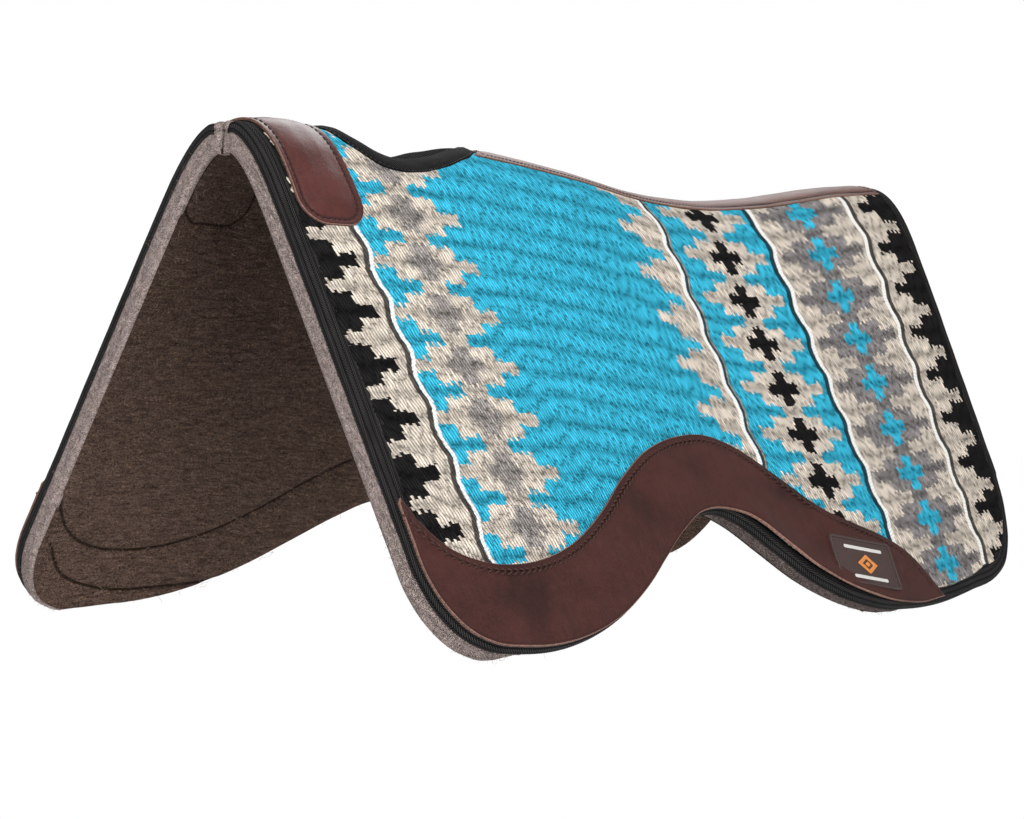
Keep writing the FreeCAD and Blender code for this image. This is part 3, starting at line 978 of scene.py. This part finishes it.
def hairs(name, roots, facing, seed, long, material):
    """Loose fibres on a surface. roots are (along, across, out) and facing their directions."""
    rng = np.random.default_rng(seed)
    count = len(roots)
    axis = facing + rng.normal(0, 0.75, (count, 3))
    axis /= np.linalg.norm(axis, axis=1)[:, None]
    bend = np.cross(axis, rng.normal(0, 1, (count, 3)))
    bend /= np.linalg.norm(bend, axis=1)[:, None]
    over = np.cross(axis, bend)
    reach = long * rng.uniform(0.35, 1.0, count)
    curl = reach * rng.uniform(0.2, 0.9, count)
    thick = rng.uniform(0.10, 0.19, count)
    posts, sides = (-0.12, 0.33, 0.67, 1.0), 3
    lay = np.empty((count, len(posts), sides, 3))
    for i, f in enumerate(posts):
        middle = roots + axis * (reach * f)[:, None] + bend * (curl * f * f)[:, None]
        fat = thick * (1.05 - 0.7 * max(f, 0.0))
        for q in range(sides):
            a = q * 2 * math.pi / sides
            round_it = bend * math.cos(a) + over * math.sin(a)
            lay[:, i, q] = middle + round_it * fat[:, None]
    lay = lay.reshape(-1, 3)
    faces = tubes(count, len(posts), sides)
    return new_piece(name, pad_point(*lay.T), faces, lay, material)


CLOTH_FRAMES = 20


def puffed(outline, seams, push, cap):
    """How far cloth on the panel swells between its seams, from a short cloth simulation.

    The cloth is simulated flat, held along its edge and its seams, and its rise is the swelling.
    cap is the most it can come to, in millimetres.
    """
    p, d, tri, _ = skin([turned_left(outline)], 9.0, [], 0.1)
    mesh = bpy.data.meshes.new("cloth")
    mesh.from_pydata([(x * 0.001, y * 0.001, 0.0) for x, y in p], [], tri.tolist())
    flat = bpy.data.objects.new("cloth", mesh)
    bpy.context.scene.collection.objects.link(flat)
    held = d < 4.0
    for line in seams:
        held |= line(p[:, 0], p[:, 1]) < 5.0
    group = flat.vertex_groups.new(name="held")
    group.add([int(i) for i in np.nonzero(held)[0]], 1.0, "REPLACE")
    modifier = flat.modifiers.new("cloth", "CLOTH")
    settings = modifier.settings
    for word, value in (
        ("quality", 6), ("mass", 0.3), ("tension_stiffness", 12.0), ("bending_stiffness", 0.4),
        ("air_damping", 4.0), ("vertex_group_mass", "held"), ("use_pressure", True),
        ("uniform_pressure_force", push),
    ):
        setattr(settings, word, value)
    settings.effector_weights.gravity = 0.0
    modifier.collision_settings.use_collision = False
    scene = bpy.context.scene
    modifier.point_cache.frame_start = 1
    modifier.point_cache.frame_end = CLOTH_FRAMES
    for number in range(1, CLOTH_FRAMES + 1):
        scene.frame_set(number)
    ready = flat.evaluated_get(bpy.context.evaluated_depsgraph_get())
    rise = np.abs(np.array([v.co.z for v in ready.data.vertices])) * 1000.0
    scene.frame_set(1)
    bpy.data.objects.remove(flat)
    rise = cap * np.tanh(rise / cap)
    tree = tree_of(p)

    def height(s, u):
        found = np.zeros(len(s))
        for i, (x, y) in enumerate(zip(s, np.abs(u))):
            near_points = tree.find_n((x, y, 0.0), 4)
            weight = [1.0 / (q[2] ** 2 + 4.0) for q in near_points]
            found[i] = sum(rise[q[1]] * w for q, w in zip(near_points, weight)) / sum(weight)
        return found

    return height


# ---------------------------------------------------------------- felt halves
def felt_inset(s):
    """The felt stops short of the tape under the front lobe and the rear corner."""
    return 0.5 + 4.6 * smooth(s, 40, 100) * (1 - smooth(s, 340, 380)) + 4.0 * smooth(s, 540, 600)


def low_edge(s, t):
    """How much the inner edge is skived: fully along the lobes, less behind the arch."""
    behind = smooth(s, 350, 400) * (1 - smooth(s, 520, 580))
    return smooth(s, 40, 100) * smooth(t, 300, 350) * (1 - 0.45 * behind)


FELT_CORNER = 6.0           # the felt's corner at the seam, front end


def felt_outline(side):
    loop = half_outline(0.0, 1.0, 2.6, 2.0)
    kept = loop[(loop[:, 0] > FELT_CORNER + 0.5) | (loop[:, 1] > FELT_CORNER + 1.5)]
    a = np.linspace(0, math.pi / 2, 6)
    arc = np.column_stack([FELT_CORNER * (1 - np.sin(a)), 1.0 + FELT_CORNER * (1 - np.cos(a))])
    loop = np.concatenate([kept, arc])
    low = (loop[:, 1] > 300)[:, None]
    inset = np.where(low, felt_inset(loop[:, 0])[:, None], 0.5 * (loop[:, 1:] > 2.0))
    return sided(loop + inward(loop) * inset, side)


def build_felt(word, side):
    rough = soft_noise(11, 9.0)
    dents = soft_noise(12, 3.4)

    def wall(s, u, f):
        swell = 0.5 - 2.2 * (2 * f - 1) ** 4
        return swell * 0.5 - 0.6 + rough(s, u + 40 * f) * 0.40 + dents(s + 60 * f, u) * 0.40

    def recess(s, u, d):
        skived = 9.2 * (1 - smooth(d, 0.0, 9.0)) * low_edge(s, np.abs(u))
        return ridge(u) - 3.4 * smooth(d, 4.5, 8.0) - skived

    node = "felt_core_" + word
    loop = felt_outline(side)
    obj = slab(node + "_body", [loop], -0.1, FELT_IN, FELT_WOOL, grid=14.0,
               radius=2.4, rings=(4.5, 6.2, 8.2), wall=8, wall_shape=wall, relief=recess)
    tip = sided(rounded_box(0.3, 13.0, 1.2, 10.5, 3.0), side)
    tip = slab("tip", [tip], -3.0, 5.2, FELT_WOOL, grid=2.5, back_grid=4.0, radius=2.6, wall=3)
    rng = np.random.default_rng(13)
    loop = turned_left(loop)
    outward = -inward(loop)
    edge = np.nonzero(np.abs(loop[:, 1]) > 3.0)[0]
    pick = rng.choice(edge, 1500)
    deepest = FELT_IN + 1.0 + 9.0 * low_edge(loop[pick, 0], np.abs(loop[pick, 1]))
    roots = np.column_stack([loop[pick], -1.0 + (deepest + 1.0) * rng.uniform(0, 1, len(pick))])
    roots[:, :2] += rng.uniform(-1.2, 1.2, (len(pick), 2))
    facing = np.column_stack([outward[pick], np.zeros(len(pick))])
    fuzz = hairs("fuzz", roots, facing, 14, 3.4, FELT_WOOL)
    obj = merged(node + "_look", [obj, tip, fuzz])
    return bends(obj, node)


# ---------------------------------------------------------------- wool lining
# lines pressed into the lining: the leather's seam, a groove below it, and the wither patch's
LINING_LINES = (
    curve(WEAR_TOP, 5.0),
    curve([(12, 386), (34, 416), (79, 433), (143, 432), (207, 422), (270, 404), (312, 384),
           (345, 366)], 4.0),
    spaced([(5, 0), (5, 80), (17, 92), (54, 92), (65, 80), (65, 0)], 4.0),
)
LINE_DEPTHS = (1.9, 1.9, 1.7)
LINING_SEAMS = [from_line(line) for line in LINING_LINES]
LINING_SWELL = puffed(half_outline(2.4, 1.2, 6.0, 2.4), LINING_SEAMS, 60.0, 1.6)


def build_lining(word, side, felt):
    wave = soft_noise(21, 60.0)
    rows = soft_noise(22, 12.0)

    def relief(s, u, d):
        down = np.abs(u)
        ribs = np.sin((down + 3.0 * wave(s, u)) * 2 * math.pi / 9.0) * 0.22
        swell = 0.5 * wave(s, u) + 0.28 * rows(s * 0.3, u) + ribs + LINING_SWELL(s, u)
        pressed = 0.0
        for deep, seam in zip(LINE_DEPTHS, LINING_SEAMS):
            far = seam(s, u)
            pressed = pressed + deep * bell(far, 1.9)
            swell = swell * (1 - bell(far, 5.0))
        return (swell + 0.5) * smooth(d, 0.0, 9.0) - pressed + ridge(u)

    node = "wool_lining_" + word
    outline = half_outline(2.4, 1.2, 3.0, 2.4)
    skived = 6.2 * low_edge(outline[:, 0], outline[:, 1])[:, None]
    outline = sided(outline + inward(outline) * skived, side)
    beside = [
        line + normals(line) * q
        for line in (spaced(line, 2.6) for line in LINING_LINES)
        for q in (-3.4, -2.1, -1.0, 0.0, 1.0, 2.1, 3.4)
    ]
    obj = slab(node + "_body", [outline], LINING_BED, LINING_IN, LINING_WOOL, grid=3.2,
               radius=1.8, wall=3, relief=relief, extra=sided(np.concatenate(beside), side))
    rng = np.random.default_rng(23)
    flat = np.column_stack([rng.uniform(8, 800, 3600), rng.uniform(6, 450, 3600)])
    flat = sided(flat[inside(half_outline(6.0, 4.0, 6.0, 22.0), flat)], side)
    roots = np.column_stack([flat, np.full(len(flat), LINING_IN - 0.7)])
    facing = np.column_stack([rng.normal(0, 1.2, (len(flat), 2)), np.full(len(flat), -0.7)])
    fuzz = hairs("fuzz", roots, facing, 24, 8.5, LINING_HAIR)
    obj = merged(node + "_look", [obj, fuzz])
    cloth(bends(obj, node), outline, "laid", felt)


# ---------------------------------------------------------------- woven blanket
BLANKET_SWELL = puffed(half_outline(1.5, 0.2, 6.0, 1.9), [from_line(WEAR_LINE)], 50.0, 1.3)


def build_blanket(word, side, felt):
    wave = soft_noise(31, 70.0)
    puff = soft_noise(32, 26.0)

    def relief(s, u, d):
        down = np.abs(u) + row_drift(s) + 1.4 * puff(s, u)
        rib = np.abs(np.cos((down - RIB_AT) * math.pi / (2 * ROW))) ** 0.7 - 0.62
        swell = 0.42 * wave(s, u) + 0.22 * puff(s, u) + BLANKET_SWELL(s, u)
        return (0.62 * rib + swell) * smooth(d, 1.0, 16.0)

    node = "blanket_" + word
    outline = half_outline(1.5, 0.2, 3.0, 1.9)
    outline = sided(outline[(outline[:, 0] > 14.0) | (outline[:, 1] > 11.0)], side)
    obj = slab(node + "_look", [outline], 0.05, BLANKET_OUT, WOVEN, grid=2.5, radius=1.6,
               relief=relief)
    return cloth(bends(obj, node), outline, "laid", felt)


# ---------------------------------------------------------------- tape round the blanket's edge
TAPE_SECTION = [
    (TAPE_WIDTH, 5.0), (TAPE_WIDTH, 6.2), (TAPE_WIDTH - 0.9, 6.5), (9.0, 6.75), (4.0, 6.8),
    (2.0, 6.45), (0.7, 5.7), (0.1, 4.6), (-0.3, 2.6), (-0.45, 0.4), (-0.35, -1.9), (0.3, -2.0),
    (0.4, 0.2), (1.2, 0.3), (1.4, 4.4), (2.2, 5.0),
]


def build_tape(word, side):
    ripple = soft_noise(41, 16.0)
    path = edge_line(0.0, 3.0, 9.0, 0.3)

    def lie(length, inset):
        return 0.16 * ripple(length, 3.0 * inset) - 2.0 * (1 - smooth(length, 0.0, 5.0))

    node = "edge_tape_" + word
    obj = sweep(node + "_look", path, TAPE_SECTION, TAPE, side=side, round_off=lie)
    bends(obj, node)


def build_tape_thread(word, side):
    row = edge_line(TAPE_ROW, 3.0)
    open_front = row[(row[:, 0] < 60) & (row[:, 1] > 118) & (row[:, 1] < 338)]
    rear = row[(row[:, 0] > 640) & (row[:, 1] > 25)]
    node = "edge_tape_stitching_" + word
    parts = [
        stitches("row", sided(p, side), 6.6, 4.2, 2.6, 0.75, TAPE_THREAD, sag=0.75)
        for p in (open_front, rear)
    ]
    bends(merged(node + "_look", parts), node)


# ---------------------------------------------------------------- wear leathers
def leather_lift(s, d):
    """How far the leather's free lower edge stands off behind the arch."""
    return 4.2 * smooth(s, 366, 410) * (1 - smooth(s, 470, 560)) * (1 - smooth(d, 3.0, 34.0))


def leather_inset(s):
    return 0.5 + 4.5 * smooth(s, 352, 392) * (1 - smooth(s, 500, 600)) + 2.0 * smooth(s, 585, 628)


def wear_outline():
    line = edge_line(0.0, 3.0)
    n = normals(line)
    first = int(np.argmax((line[:, 1] > 344) & (line[:, 0] < 5)))
    last = int(np.max(np.nonzero((line[:, 0] < 630) & (line[:, 1] > 300))[0]))
    low = (line - n * leather_inset(line[:, 0])[:, None])[first:last + 1]
    return np.concatenate([WEAR_LINE, low[::-1]])


def build_leather(word, side, blanket):
    wave = soft_noise(51, 46.0)
    small = soft_noise(52, 15.0)
    row = from_line(WEAR_LINE)

    def lifted(s, u, d):
        return leather_lift(s, PAD_EDGE(s, u))

    def relief(s, u, d):
        near_row = row(s, u)
        seam_dip = 0.55 * bell(near_row - 6.0, 2.2)
        turned = 0.5 * (1 - smooth(near_row, 0.5, 5.0))
        return lifted(s, u, d) + 0.40 * wave(s, u) + 0.12 * small(s, u) - seam_dip - turned * 0.4

    def back_relief(s, u, d):
        return -lifted(s, u, d)

    node = "wear_leather_" + word
    outline = sided(wear_outline(), side)
    obj = slab(node + "_look", [outline], LEATHER_IN, LEATHER_OUT,
               WEAR_HIDE, grid=3.2, back_grid=7.0, radius=0.7, rings=(3.0, 6.0), wall=3,
               relief=relief, back_relief=back_relief)
    cloth(bends(obj, node), outline, "laid", blanket)


def build_leather_thread(word, side):
    """Two slanting rows that meet in a braid."""
    node = "wear_leather_stitching_" + word
    parts = []
    for k in (-1.0, 1.0):
        row = (WEAR_LINE + normals(WEAR_LINE) * (WEAR_ROW + 1.1 * k))[3:-4]
        parts.append(stitches("row", sided(row, side), LEATHER_OUT - 0.1, 6.4, 6.2, 2.0,
                              HIDE_THREAD, skew=-0.42 * k * side, start=0.5 + 0.12 * k))
    bends(merged(node + "_look", parts), node)


# ---------------------------------------------------------------- pieces across the spine
def build_patch(*blankets):
    s0, s1, drop, radius = PATCH
    wave = soft_noise(61, 24.0)

    def shape(inset):
        """A rectangle with round corners whose front edge bows back at the spine."""
        p = rounded_box(s0 + inset, s1 - inset, -drop + inset, drop - inset, radius - inset)
        p[:, 0] += 5.0 * (1 - (p[:, 1] / drop) ** 2) * (p[:, 0] < (s0 + s1) / 2)
        return p

    def relief(s, u, d):
        crown = 1.9 * smooth(d, 4.0, 24.0)
        dip = 0.85 * bell(d - PATCH_ROW, 1.7)
        return crown - dip + 0.25 * wave(s, u) * smooth(d, 6, 16)

    outline = shape(0.0)
    obj = slab("wither_patch_look", [outline], LEATHER_IN, LEATHER_OUT, PATCH_HIDE,
               grid=2.6, back_grid=7.0, radius=0.8, rings=(2.4, 4.2, PATCH_ROW, 7.2), wall=3,
               relief=relief)
    cloth(bends(obj, "wither_patch"), outline, "folded", *blankets)
    thread = stitches("wither_patch_stitching_look", ringed(shape(PATCH_ROW)), LEATHER_OUT - 0.30,
                      5.2, 4.0, 1.45, PATCH_THREAD)
    bends(thread, "wither_patch_stitching")


def ring_of(half):
    """A closed line round the spine from its half line."""
    return np.concatenate([half, sided(half[1:-1][::-1], NEAR)])


BINDING_SECTION = [
    (-15.8, 6.2), (-15.8, 7.2), (-14.9, 7.9), (-12.6, 8.2), (-10.0, 9.0), (-6.4, 9.4), (-3.0, 8.9),
    (-0.8, 7.2), (0.2, 4.6), (0.7, 0.0), (0.8, -6.0), (0.6, -12.0), (0.1, -16.2), (-1.4, -18.6),
    (-4.5, -19.6), (-12.0, -19.8), (-17.0, -19.2), (-19.0, -18.4), (-19.0, -17.6), (-2.0, -17.6),
    (-1.6, -16.4), (-1.6, 4.6), (-2.2, 6.3),
]


def build_binding(*felts):
    crease = soft_noise(71, 7.0)
    loop = ring_of(cut_line(0.0))
    obj = sweep("cutout_binding_look", loop, BINDING_SECTION, BINDING, closed=True,
                round_off=lambda length, inset: 0.22 * crease(length, 2.5 * inset))
    bends(obj, "cutout_binding")
    thread = stitches("cutout_binding_stitching_look", ringed(ring_of(cut_line(BINDING_ROW))),
                      8.0, 4.0, 3.0, 0.9, TAPE_THREAD)
    bends(thread, "cutout_binding_stitching")


def build_strip(*blankets):
    s0, s1, half = STRIP
    wave = soft_noise(81, 30.0)

    def front(wider, width):
        c = cut_line(wider)
        c = c[(c[:, 0] > 190) & (c[:, 1] < width)]
        return np.concatenate([c, sided(c[:-1][::-1], NEAR)])

    def outline(inset):
        end, wide = s1 - inset, half - inset
        nose = front(NOSE_GAP + inset, wide)
        a = spaced([(nose[-1, 0] + 4, -wide), (end, -wide)], 3.0)
        b = spaced([(end, -wide), (end, wide)], 3.0)[1:-1]
        c = spaced([(end, wide), (nose[0, 0] + 4, wide)], 3.0)
        return np.concatenate([nose, a, b, c])

    def relief(s, u, d):
        dip = 0.6 * bell(d - STRIP_ROW, 1.4)
        return 0.9 * smooth(d, 3.0, 16.0) - dip + 0.2 * wave(s, u)

    obj = slab("spine_strip_look", [outline(0.0)], LEATHER_IN, LEATHER_OUT, STRIP_HIDE,
               grid=2.8, back_grid=7.0, radius=0.7, rings=(2.6, STRIP_ROW, 5.6), wall=3,
               relief=relief)
    cloth(bends(obj, "spine_strip"), outline(0.0), "folded", *blankets)
    thread = stitches("spine_strip_stitching_look", ringed(outline(STRIP_ROW)), LEATHER_OUT - 0.2,
                      4.4, 3.5, 1.15, PATCH_THREAD)
    bends(thread, "spine_strip_stitching")


# ---------------------------------------------------------------- moulded label
def build_label():
    """A rimmed patch with a plain diamond between two bars."""
    cs, ct, width, height, degrees = LABEL
    c, s = math.cos(math.radians(degrees)), math.sin(math.radians(degrees))

    def placed(p):
        p = np.asarray(p, float)
        return np.column_stack([cs + p[:, 0] * c - p[:, 1] * s, -(ct + p[:, 0] * s + p[:, 1] * c)])

    def box(w, h, r, cx=0.0, cy=0.0, step=1.6):
        return placed(rounded_box(cx - w / 2, cx + w / 2, cy - h / 2, cy + h / 2, r, step))

    def lozenge(wide, top, bottom, step=1.5):
        return placed(spaced([(-wide, 2), (0, top), (wide, 2), (0, bottom), (-wide, 2)], step)[:-1])

    def raised(name, loops, high, material):
        parts.append(slab(name, loops, base + 1.3, base + high, material, back_grid=5.0,
                          radius=0.35))

    base = LEATHER_OUT + 0.05
    parts = [
        slab("label_base", [box(width, height, 3.4)], base, base + 1.5, RUBBER, grid=3.0,
             back_grid=6.0, radius=0.5),
        slab("label_rim", [box(width, height, 3.4), box(width - 4.4, height - 4.4, 2.0)],
             base + 1.3, base + 2.4, RUBBER, back_grid=6.0, radius=0.5),
    ]
    raised("label_diamond", [lozenge(13, -7, 11), lozenge(7, -3, 7)], 2.2, RUBBER_ORANGE)
    raised("label_core", [lozenge(3.6, -0.6, 4.6, 1.2)], 2.2, RUBBER_ORANGE)
    for cy, w in ((-12.2, 50.0), (15.0, 44.0)):
        raised("label_bar", [box(w, 3.2, 1.2, 0.0, cy, 1.2)], 2.15, RUBBER_PALE)
    across, down = width / 2 - 3.9, height / 2 - 3.9
    row = placed(ringed(rounded_box(-across, across, -down, down, 1.6, 1.5)))
    parts.append(stitches("label_row", row, base + 1.6, 3.2, 2.4, 0.9, RUBBER, sag=0.6))
    bends(merged("label_patch_look", parts), "label_patch")


felts, blankets = [], []
for word, side in SIDES:
    felts.append(build_felt(word, side))
    build_lining(word, side, felts[-1])
    blankets.append(build_blanket(word, side, felts[-1]))
    build_tape(word, side)
    build_tape_thread(word, side)
    build_leather(word, side, blankets[-1])
    build_leather_thread(word, side)
build_patch(*blankets)
build_binding(*felts)
build_strip(*blankets)
build_label()


# ---------------------------------------------------------------- floor, light and camera
PAPER_WHITE = (1.0, 1.0, 1.0, 1.0)
FLOOR_GLOW = 0.93
AMBIENT = 0.26


def build_floor():
    bpy.ops.mesh.primitive_plane_add(size=60.0, location=(0, 0, -0.002))
    floor = bpy.context.object
    floor.name = "floor"
    mat = bpy.data.materials.new("floor_paper")
    mat.use_nodes = True
    shader = mat.node_tree.nodes["Principled BSDF"]
    fill(shader, Base_Color=(0.28, 0.28, 0.28, 1.0), Roughness=1.0, Specular_IOR_Level=0.0,
         Emission_Color=PAPER_WHITE, Emission_Strength=FLOOR_GLOW)
    floor.data.materials.append(mat)
    floor.visible_camera = False       # it lights the pad and leaves the view from below open


def build_world():
    """White to the eye and a dimmer white as light."""
    world = bpy.data.worlds.new("studio")
    world.use_nodes = True
    tree = world.node_tree
    dim = tree.nodes["Background"]
    white = tree.nodes.new("ShaderNodeBackground")
    fill(dim, Color=PAPER_WHITE, Strength=AMBIENT)
    fill(white, Color=PAPER_WHITE, Strength=1.0)
    path = tree.nodes.new("ShaderNodeLightPath")
    mixer = tree.nodes.new("ShaderNodeMixShader")
    tree.links.new(path.outputs["Is Camera Ray"], mixer.inputs[0])
    tree.links.new(dim.outputs[0], mixer.inputs[1])
    tree.links.new(white.outputs[0], mixer.inputs[2])
    tree.links.new(mixer.outputs[0], tree.nodes["World Output"].inputs[0])
    bpy.context.scene.world = world


def build_light(name, place, aim, size, power):
    data = bpy.data.lights.new(name, "AREA")
    data.shape = "DISK"
    data.size = size
    data.energy = power
    lamp = bpy.data.objects.new(name, data)
    lamp.location = place
    lamp.rotation_euler = (Vector(aim) - Vector(place)).to_track_quat("-Z", "Y").to_euler()
    bpy.context.scene.collection.objects.link(lamp)


build_floor()
build_world()
build_light("key", (-1.2, -2.1, 2.1), (0.0, -0.15, 0.2), 1.2, 92.0)
build_light("front", (-2.4, -0.9, 0.55), (-0.1, 0.12, 0.10), 0.8, 20.0)
build_light("back", (1.55, 1.25, 2.1), (-0.25, 0.0, 0.35), 1.7, 26.0)
bpy.context.scene.view_settings.view_transform = "Standard"

lens = bpy.data.cameras.new("camera")
lens.lens = 82.5
lens.sensor_width = 36.0
lens.shift_y = -0.0345
camera = bpy.data.objects.new("camera", lens)
camera.location = (-1.4879, -1.358, 0.2022)
camera.rotation_euler = Vector((0.7181, 0.6959, 0.0)).to_track_quat("-Z", "Y").to_euler()
bpy.context.scene.collection.objects.link(camera)
bpy.context.scene.camera = camera
